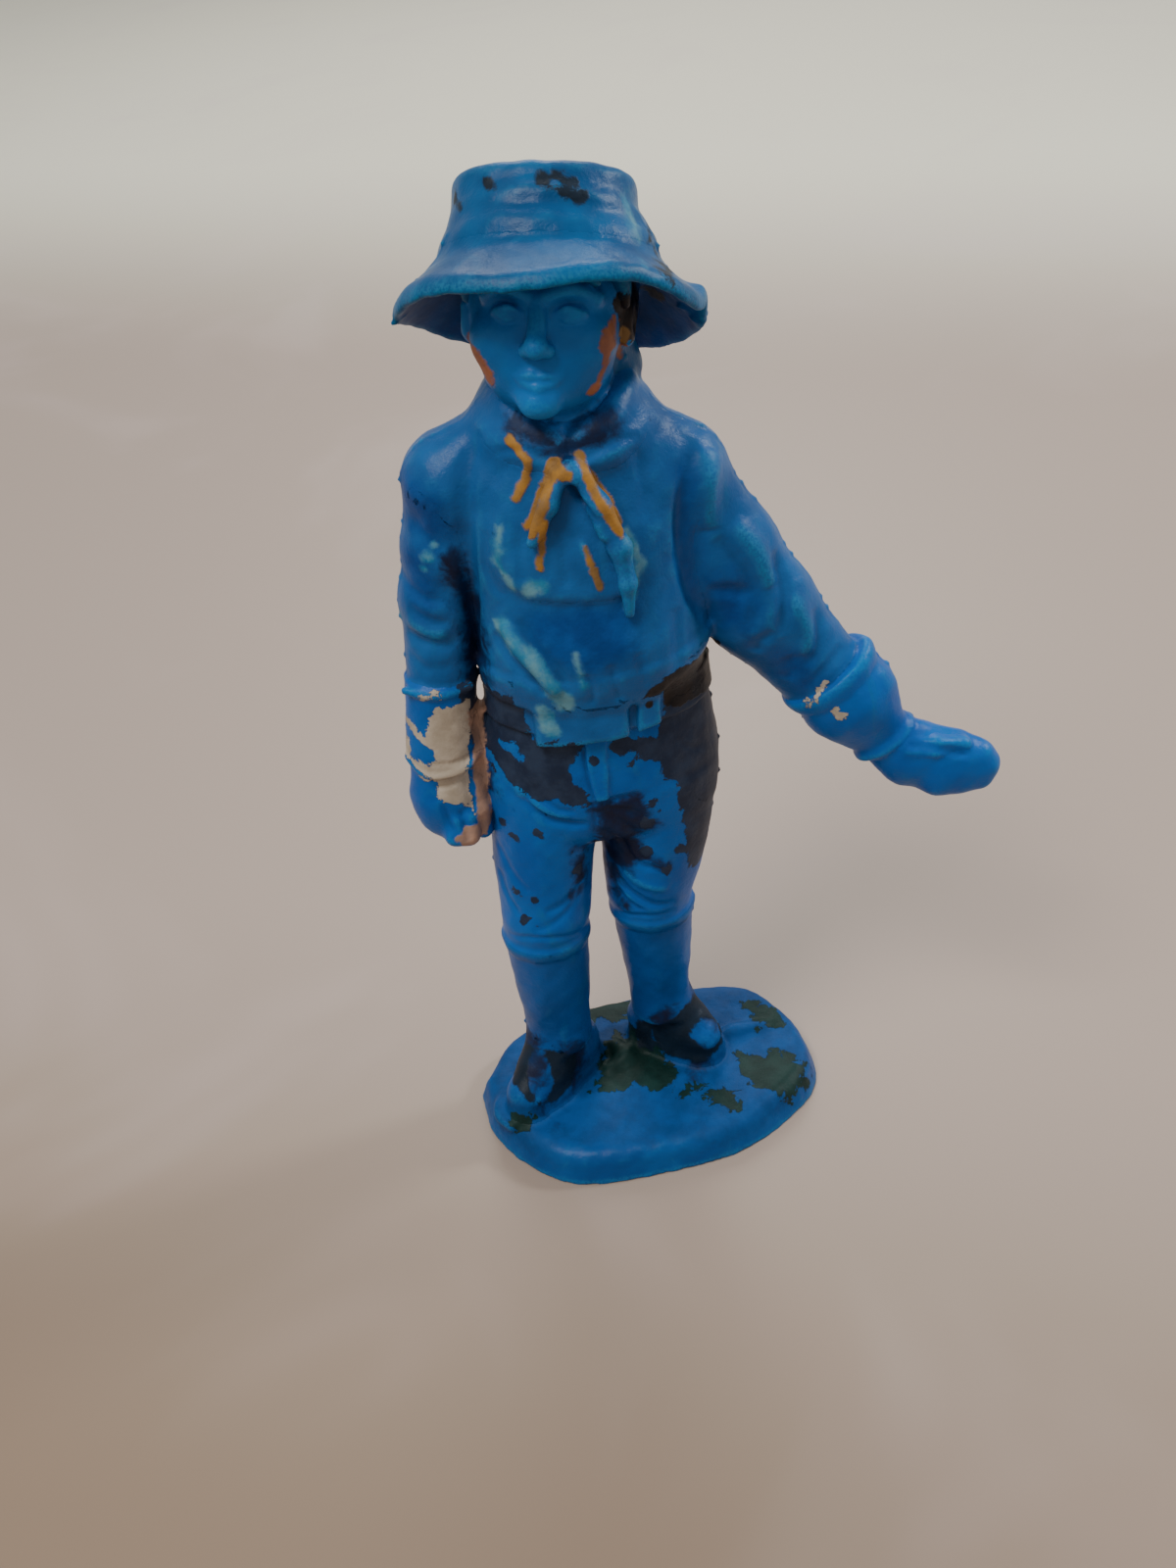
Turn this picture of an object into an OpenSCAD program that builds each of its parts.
// Standing toy figure of a young cavalry trooper, moulded with its base.
// It faces -Y. Its own right is -X and its own left is +X. Millimetres, +Z up.
// The origin lies on the underside of the base, below the middle of the body.

/* [Base] */
// Length of the ground plate, side to side
base_length = 22.8; // [21:0.2:26]
// Depth of the ground plate, front to back
base_depth = 15; // [14:0.2:18]
// Thickness of the ground plate
base_thickness = 2.2; // [1.8:0.1:2.2]
// How far the top edge of the plate is set in from the bottom edge
base_bevel = 0.8; // [0.4:0.1:1.2]

/* [Legs] */
// Radius of the boots at the ankle
ankle_radius = 2.0; // [1.7:0.05:2.2]
// Radius of the boots at the top
boot_top_radius = 2.5; // [2.3:0.05:2.6]
// Radius of the trouser legs at the thigh
thigh_radius = 2.95; // [2.8:0.05:3.1]

/* [Body] */
// Half the width of the hips
hip_half_width = 6.5; // [6.2:0.1:6.8]
// Half the width of the shirt at the chest
chest_half_width = 6.1; // [5.9:0.1:6.3]
// Height of the belt
belt_height = 2.0; // [1.6:0.1:2.4]

/* [Arms] */
// Radius of the sleeve of the hanging arm
right_sleeve_radius = 1.85; // [1.7:0.05:2]
// Half the width of the loose sleeve of the stretched arm
left_sleeve_radius = 2.75; // [2.5:0.05:2.9]
// Half the width of a gauntlet at its flared end
cuff_radius = 2.05; // [1.95:0.05:2.2]

/* [Head] */
// Half the width of the head
head_half_width = 3.8; // [3.6:0.05:3.9]
// Height of the head from chin to crown
head_height = 9.8; // [9.4:0.1:10.2]
// How far the head tilts back, in degrees
head_tilt = 17; // [10:1:22]
// How far the head turns to its own right, in degrees
head_turn = 11; // [0:1:15]
// How far the head leans to its own left, in degrees
head_lean = 5; // [0:1:8]

/* [Hat] */
// Radius of the crown at the top
crown_radius = 3.9; // [3.7:0.05:4.1]
// Height of the crown above the brim
crown_height = 3.6; // [3.2:0.1:4]
// How far the brim reaches out from the crown
brim_reach = 3.0; // [2.6:0.1:3.4]
// How far the brim droops at the sides
brim_droop = 3.0; // [2.4:0.1:3.2]
// How far the hat tilts back, in degrees
hat_tilt = 27; // [22:1:30]
// How far the hat turns to the figure's own right, in degrees
hat_turn = 6; // [0:1:12]

/* [Hidden] */
$fn = 24;
plastic = [0.02, 0.27, 0.55];
cream = [0.72, 0.62, 0.47];
navy = [0.12, 0.14, 0.2];
ochre = [0.72, 0.45, 0.14];
moss = [0.06, 0.14, 0.1];

base_centre = [0.2, -0.8];
base_turn = 7;
base_roundness = 2.25;
base_points = 48;

// Joints of the body, as centres of the limbs
right_ankle = [-5.0, -0.3, 6.4];
right_boot_top = [-4.9, -0.9, 14.2];
right_knee = [-4.7, -0.9, 16.4];
right_thigh = [-4.3, -0.5, 20.5];
right_hip = [-3.5, 0, 25.6];
right_heel = [-4.1, 0.9, 3.6];
right_toe = [-7.9, -3.2, 3.3];
left_ankle = [1.8, 1.3, 6.4];
left_boot_top = [1.85, 0.3, 13.9];
left_knee = [1.75, 0.1, 16.0];
left_thigh = [2.2, 0, 19.8];
left_hip = [2.9, 0, 25.4];
left_heel = [1.0, 2.2, 3.6];
left_toe = [4.7, -0.1, 3.3];
hip_centre = [-0.3, 0.1, 27.2];
waist_centre = [0, 0, 32.4];
belly_centre = [0, -0.3, 37];
chest_centre = [0, 0, 42];
right_shoulder = [-6.0, 0.1, 45.4];
left_shoulder = [5.7, 0.1, 44.4];
right_elbow = [-7.75, 0.2, 39.2];
right_sleeve_end = [-8.4, -0.2, 34.6];
right_wrist = [-9.15, -0.5, 28.4];
right_fist = [-9.3, -0.7, 25.7];
left_elbow = [8.4, 0, 38.2];
left_sleeve_end = [12.2, -0.1, 31.8];
left_cuff_top = [13.2, -0.2, 30.5];
left_wrist = [15.8, -0.5, 26.5];
left_palm = [18.7, -0.8, 25.0];
left_fingers = [21.3, -1.0, 23.9];
neck_bottom = [0, 0.1, 45.5];
neck_top = [-0.2, 0.1, 51];
head_centre = [-0.2, 0.1, 53.3];
knot_centre = [-0.2, -4.1, 47.2];
crotch_x = -1.25;
belt_bottom = 31.7;
hem_top = 35.2;
hat_seat = 2.9;

module ball(place, radius) translate(place) sphere(radius);
module egg(place, radii) translate(place) scale(radii) sphere(1);
module disc(place, radii, height)
    translate(place) scale([radii[0], radii[1], 1]) cylinder(h = height, r = 1);

// A chain of balls, each joined to the next by its hull
module limb(places, radii)
    for (i = [0 : len(places) - 2])
        hull() {
            ball(places[i], radii[i]);
            ball(places[i + 1], radii[i + 1]);
        }

// The same with the balls flattened front to back
module flat_limb(places, radii, flatness)
    for (i = [0 : len(places) - 2])
        hull() {
            egg(places[i], [radii[i], radii[i] * flatness[i], radii[i]]);
            egg(places[i + 1], [radii[i + 1], radii[i + 1] * flatness[i + 1], radii[i + 1]]);
        }

function power(v, e) = sign(v) * pow(abs(v), e);
function base_outline(inset) = [
    for (i = [0 : base_points - 1])
        let (a = 360 * i / base_points, e = 2 / base_roundness)
            [(base_length / 2 - inset) * power(cos(a), e),
             (base_depth / 2 - inset) * power(sin(a), e)]
];
module base_plate(inset, z, h)
    translate([base_centre[0], base_centre[1], z]) rotate(base_turn)
        linear_extrude(h) polygon(base_outline(inset));
module base_shape() hull() {
    base_plate(0, 0, 0.7);
    base_plate(base_bevel, base_thickness - 0.3, 0.3);
}
module base() color(moss) base_shape();

module foot_shape(ankle, heel, toe) {
    hull() {
        ball(heel, 1.65);
        ball((heel + toe) * 0.5 + [0, 0, 0.1], 1.5);
        ball(ankle - [0, 0, 0.6], ankle_radius * 0.9);
    }
    hull() {
        ball((heel + toe) * 0.5 + [0, 0, 0.1], 1.5);
        ball(toe, 1.3);
    }
}
module foot(ankle, heel, toe) color(plastic) difference() {
    foot_shape(ankle, heel, toe);
    base_shape();
}
module right_foot() foot(right_ankle, right_heel, right_toe);
module left_foot() foot(left_ankle, left_heel, left_toe);

module boot_shape(ankle, top) limb(
    [ankle, ankle * 0.62 + top * 0.38, top - [0, 0, boot_top_radius * 0.5]],
    [ankle_radius, ankle_radius * 1.06, boot_top_radius * 0.98]);
module boot_shaft(ankle, top, heel, toe) color(plastic) difference() {
    boot_shape(ankle, top);
    foot_shape(ankle, heel, toe);
    disc(top - [0, 0, 0.7], [4, 4], 5);
}
module right_boot_shaft() boot_shaft(right_ankle, right_boot_top, right_heel, right_toe);
module left_boot_shaft() boot_shaft(left_ankle, left_boot_top, left_heel, left_toe);

module boot_rim(top) color(plastic)
    disc(top - [0, 0, 0.7], [boot_top_radius + 0.15, boot_top_radius + 0.15], 0.7);
module right_boot_rim() boot_rim(right_boot_top);
module left_boot_rim() boot_rim(left_boot_top);

module trouser_shape(knee, thigh, hip) limb(
    [knee, thigh, hip], [boot_top_radius * 1.04, thigh_radius, thigh_radius * 1.15]);
module trouser_leg(knee, thigh, hip, top, side) color(navy) difference() {
    trouser_shape(knee, thigh, hip);
    disc(top - [0, 0, 8], [6, 6], 8);
    seat_shape(0);
    translate([crotch_x - (side < 0 ? 0 : 20), -10, 0]) cube([20, 20, 40]);
}
module right_trouser_leg()
    trouser_leg(right_knee, right_thigh, right_hip, right_boot_top, -1);
module left_trouser_leg()
    trouser_leg(left_knee, left_thigh, left_hip, left_boot_top, 1);

// The hips and waist, grown by a margin so that the fly and belt can be cut from the same form
module seat_shape(margin) hull() {
    egg(hip_centre, [hip_half_width + margin, 4.1 + margin, 4.4 + margin]);
    disc(waist_centre - [0, 0, 1.2], [5.7 + margin, 4.0 + margin], belt_height + 0.6);
}
module slab(low, high) translate(low) cube(high - low);
module trouser_seat() color(navy) seat_shape(0);
module trouser_fly() color(plastic) difference() {
    intersection() {
        seat_shape(0.22);
        slab([-1.2, -6, 23.2], [0.1, 0, belt_bottom - 0.01]);
    }
    seat_shape(0);
    trouser_shape(right_knee, right_thigh, right_hip);
    trouser_shape(left_knee, left_thigh, left_hip);
}
module belt() color(navy) difference() {
    intersection() {
        seat_shape(0.35);
        slab([-9, -7, belt_bottom], [9, 7, belt_bottom + belt_height]);
    }
    seat_shape(0);
}
module buckle_shape() intersection() {
    seat_shape(0.75);
    translate([-1.05, 0, belt_bottom + belt_height / 2]) rotate([90, 0, 0])
        linear_extrude(7) hull() {
            for (x = [-1, 1], z = [-1, 1])
                translate([x * 2.2, z * 0.95]) circle(0.4);
        }
}
module belt_buckle() color(plastic) difference() {
    buckle_shape();
    seat_shape(0.35);
}
module keeper_shape() intersection() {
    seat_shape(0.7);
    slab([1.75, -7, belt_bottom - 0.1], [3.0, -1, belt_bottom + belt_height + 0.2]);
}
module belt_keeper() color(plastic) difference() {
    keeper_shape();
    seat_shape(0.35);
    translate([2.4, 0, belt_bottom + belt_height * 0.75]) rotate([90, 0, 0]) cylinder(h = 8, r = 0.22);
}

// The shirt from hem to neck, grown by a margin for the scarf that lies on it
module shirt_shape(margin) hull() {
    disc([0, -0.2, hem_top - 0.2], [5.6 + margin, 4.1 + margin], 0.2);
    egg(belly_centre, [5.9 + margin, 4.5 + margin, 2.6]);
    egg(chest_centre, [chest_half_width + margin, 4.3 + margin, 3.4]);
    ball(right_shoulder + [1.2, 0, -0.4], 2.2 + margin);
    ball(left_shoulder + [-1.0, 0, 0], 2.2 + margin);
    egg(neck_bottom + [0, 0, 1.2], [3.2 + margin, 3.2 + margin, 1.6]);
}
module shirt_body() color(plastic) shirt_shape(0);
module shirt_hem() color(plastic) difference() {
    hull() {
        disc([0, -0.2, belt_bottom + belt_height + 0.01], [6.0, 4.5], 0.3);
        disc([0, -0.2, hem_top - 0.2], [5.8, 4.3], 0.2);
    }
    seat_shape(0);
    shirt_shape(0);
}

module right_sleeve_shape() limb(
    [right_shoulder, right_elbow, right_sleeve_end],
    [2.45, right_sleeve_radius, right_sleeve_radius]);
module left_sleeve_shape() flat_limb(
    [left_shoulder, left_elbow, left_sleeve_end],
    [2.5, left_sleeve_radius, left_sleeve_radius * 0.95], [0.95, 0.75, 0.7]);
module right_sleeve() color(plastic) difference() {
    right_sleeve_shape();
    shirt_shape(0);
    right_cuff_shape();
}
module left_sleeve() color(plastic) difference() {
    left_sleeve_shape();
    shirt_shape(0);
    left_cuff_shape();
}

// A gauntlet cuff flares from the wrist to the sleeve
module cuff_shape(top, wrist, flare, wrist_radius, flatness)
    translate(top) align(wrist - top) hull() {
        disc([0, 0, 0], [flare, flare * flatness], 0.4);
        disc([0, 0, norm(wrist - top) - 0.4], [wrist_radius, wrist_radius * flatness], 0.4);
    }
// Turns +Z to a direction
module align(v) rotate([0, acos(v[2] / norm(v)), atan2(v[1], v[0])]) children();
module right_cuff_shape()
    cuff_shape(right_sleeve_end + [-0.05, 0, -0.5], right_wrist, cuff_radius, cuff_radius * 0.9, 0.9);
module left_cuff_shape()
    cuff_shape(left_cuff_top, left_wrist, cuff_radius * 1.4, cuff_radius, 0.75);
module right_gauntlet_cuff() color(cream) right_cuff_shape();
module left_gauntlet_cuff() color(plastic) left_cuff_shape();

module right_hand_shape() hull() {
    egg(right_wrist, [1.5, 1.4, 1.2]);
    egg(right_fist, [1.95, 1.55, 2.4]);
}
module right_glove_hand() color(plastic) difference() {
    right_hand_shape();
    right_cuff_shape();
}
module right_glove_thumb() color(cream) difference() {
    hull() {
        ball(right_fist + [1.3, -1.0, 0.9], 0.6);
        ball(right_fist + [1.5, -1.0, -1.6], 0.6);
    }
    right_hand_shape();
}
module left_hand_shape() hull() {
    egg(left_wrist, [1.5, 1.3, 1.5]);
    egg(left_palm, [2.1, 1.2, 1.9]);
    egg(left_fingers, [1.5, 0.9, 1.6]);
}
module left_glove_hand() color(plastic) difference() {
    left_hand_shape();
    left_cuff_shape();
}
module left_glove_thumb() color(plastic) difference() {
    hull() {
        ball(left_palm + [-1.1, -1.0, 1.1], 0.6);
        ball(left_palm + [1.6, -1.0, 0.9], 0.55);
    }
    left_hand_shape();
    left_cuff_shape();
}
module glove_thigh_web() color(plastic) difference() {
    slab([-7.9, -0.7, 24], [-5.6, 0, belt_bottom + 0.8]);
    seat_shape(0);
    trouser_shape(right_knee, right_thigh, right_hip);
    right_hand_shape();
    right_cuff_shape();
    right_glove_thumb();
}

// A closed ring through a loop of equal cross-sections
module ring(sections) {
    n = len(sections);
    m = len(sections[0]);
    polyhedron([for (s = sections) each s], [
        for (i = [0 : n - 1], j = [0 : m - 1])
            let (a = i * m, b = (i + 1) % n * m, k = (j + 1) % m)
                each [[a + j, a + k, b + k], [a + j, b + k, b + j]]
    ]);
}

module neck_shape() hull() {
    disc(neck_bottom, [2.6, 2.6], 1);
    disc(neck_top, [2.5, 2.5], 0.1);
}
module collar_shape() translate([-0.1, -0.3, 47.9]) rotate([14, 0, 0]) ring([
    for (a = [0 : 15 : 345]) [
        for (b = [0 : 45 : 315])
            [(2.7 + 1.05 * cos(b)) * cos(a), (2.7 + 1.05 * cos(b)) * sin(a), 1.05 * sin(b)]
    ]
]);
module knot_shape() egg(knot_centre, [0.9, 0.75, 0.8]);
module neck() color(plastic) difference() {
    neck_shape();
    shirt_shape(0);
    head_shape();
}
module scarf_collar() color(plastic) difference() {
    collar_shape();
    shirt_shape(0);
    neck_shape();
    head_shape();
    knot_shape();
}
module scarf_knot() color(ochre) difference() {
    knot_shape();
    shirt_shape(0);
}
// A flap of the scarf, fanning out from the knot over the chest
module scarf_flap(outline, thickness) intersection() {
    shirt_shape(thickness);
    translate([0, 0.1, 0]) rotate([90, 0, 0]) linear_extrude(7) polygon(outline);
}
module bib_shape() scarf_flap([
    [-1.2, 47], [0.6, 47], [2.6, 41], [2.0, 40.0], [-2.8, 40.0], [-4.3, 41.4], [-3.6, 45]
], 0.35);
module right_tail_shape() scarf_flap([
    [-1.4, 47], [-0.3, 46.6], [-1.3, 43.6], [-2.9, 42.2], [-3.2, 43.6]
], 0.6);
module left_tail_shape() scarf_flap([
    [-0.2, 47], [0.7, 47], [2.6, 42.5], [2.7, 39.6], [2.0, 39.2], [1.1, 42]
], 0.65);
module scarf_right_tail() color(ochre) difference() {
    right_tail_shape();
    shirt_shape(0.35);
    knot_shape();
    collar_shape();
}
module scarf_left_tail() color(ochre) difference() {
    left_tail_shape();
    shirt_shape(0);
    knot_shape();
    collar_shape();
}
module scarf_bib() color(plastic) difference() {
    bib_shape();
    shirt_shape(0);
    knot_shape();
    collar_shape();
    left_tail_shape();
}

module head_frame() translate(head_centre) rotate([0, head_lean, 0]) rotate([0, 0, -head_turn])
    rotate([-head_tilt, 0, 0]) children();
module hat_frame() translate(head_centre) rotate([0, head_lean, 0]) rotate([0, 0, -hat_turn])
    rotate([-hat_tilt, 0, 0]) children();
module head_shape() head_frame() hull() {
    egg([0, 0.3, 0.9], [head_half_width, 4.0, head_height / 2 - 0.9]);
    egg([0, -1.0, 1.1 - head_height * 0.25], [head_half_width * 0.8, 3.0, head_height * 0.25 + 1.1]);
}
module nose_shape() head_frame() hull() {
    ball([0, -3.75, 0.8], 0.35);
    ball([0, -4.35, -0.9], 0.5);
}
module hair_shape() difference() {
    head_frame() intersection() {
        hull() egg([0, 0.9, 0.5], [head_half_width + 0.25, 3.9, head_height / 2]);
        slab([-6, 0.6, -3.6], [6, 7, 7]);
    }
    hat_frame() slab([-8, -8, hat_seat], [8, 8, 12]);
}
module ear_shape(side) head_frame()
    egg([side * head_half_width, -0.5, 0], [0.55, 0.8, 1.15]);
module head() color(plastic) difference() {
    head_shape();
    head_frame() slab([-6, 0.6, -3.6], [6, 7, 7]);
    hat_frame() slab([-8, -8, hat_seat], [8, 8, 12]);
}
module nose() color(plastic) difference() {
    nose_shape();
    head_shape();
}
module right_ear() color(plastic) ear(-1);
module left_ear() color(plastic) ear(1);
module ear(side) difference() {
    ear_shape(side);
    head_shape();
}
module hair() color(plastic) difference() {
    hair_shape();
    neck_shape();
    collar_shape();
    brim_shape();
}

// The brim droops more at the sides than at the front and back
function brim_station(a, t, z) =
    let (reach = crown_radius + 0.4 + (brim_reach + 0.4) * t,
         droop = brim_droop * (0.7 + 0.3 * pow(cos(a), 2)))
        [reach * cos(a), 0.3 + (reach + 0.15) * sin(a), hat_seat + z - droop * pow(t, 1.2)];
module brim_shape() hat_frame() ring([
    for (a = [0 : 12 : 348]) [
        for (t = [0, 0.5, 1]) brim_station(a, t, 0.15),
        for (t = [1, 0.5, 0]) brim_station(a, t, -0.5)
    ]
]);
module crown_shape(grow, low, high) hat_frame() hull() {
    disc([0, 0.3, hat_seat + low], [crown_radius + 0.75 + grow, crown_radius + 0.9 + grow], 0.1);
    disc([0, 0.3, hat_seat + high - 0.6], [crown_radius + grow, crown_radius + 0.2 + grow], 0.1);
    disc([0, 0.3, hat_seat + high - 0.1], [crown_radius - 0.5 + grow, crown_radius - 0.3 + grow], 0.1);
}
module hat_brim() color(plastic) difference() {
    brim_shape();
    crown_shape(0, 0, crown_height);
    head_shape();
}
module hat_crown() color(plastic) crown_shape(0, 0, crown_height);
module hat_band() color(plastic) difference() {
    intersection() {
        crown_shape(0.25, 0, crown_height);
        hat_frame() disc([0, 0, hat_seat + 0.3], [9, 9], 1.1);
    }
    crown_shape(0, 0, crown_height);
    brim_shape();
}

base();
right_foot();
left_foot();
right_boot_shaft();
left_boot_shaft();
right_boot_rim();
left_boot_rim();
right_trouser_leg();
left_trouser_leg();
trouser_seat();
trouser_fly();
belt();
belt_buckle();
belt_keeper();
shirt_body();
shirt_hem();
right_sleeve();
left_sleeve();
right_gauntlet_cuff();
left_gauntlet_cuff();
right_glove_hand();
left_glove_hand();
right_glove_thumb();
left_glove_thumb();
glove_thigh_web();
neck();
scarf_collar();
scarf_knot();
scarf_bib();
scarf_right_tail();
scarf_left_tail();
head();
nose();
right_ear();
left_ear();
hair();
hat_brim();
hat_band();
hat_crown();
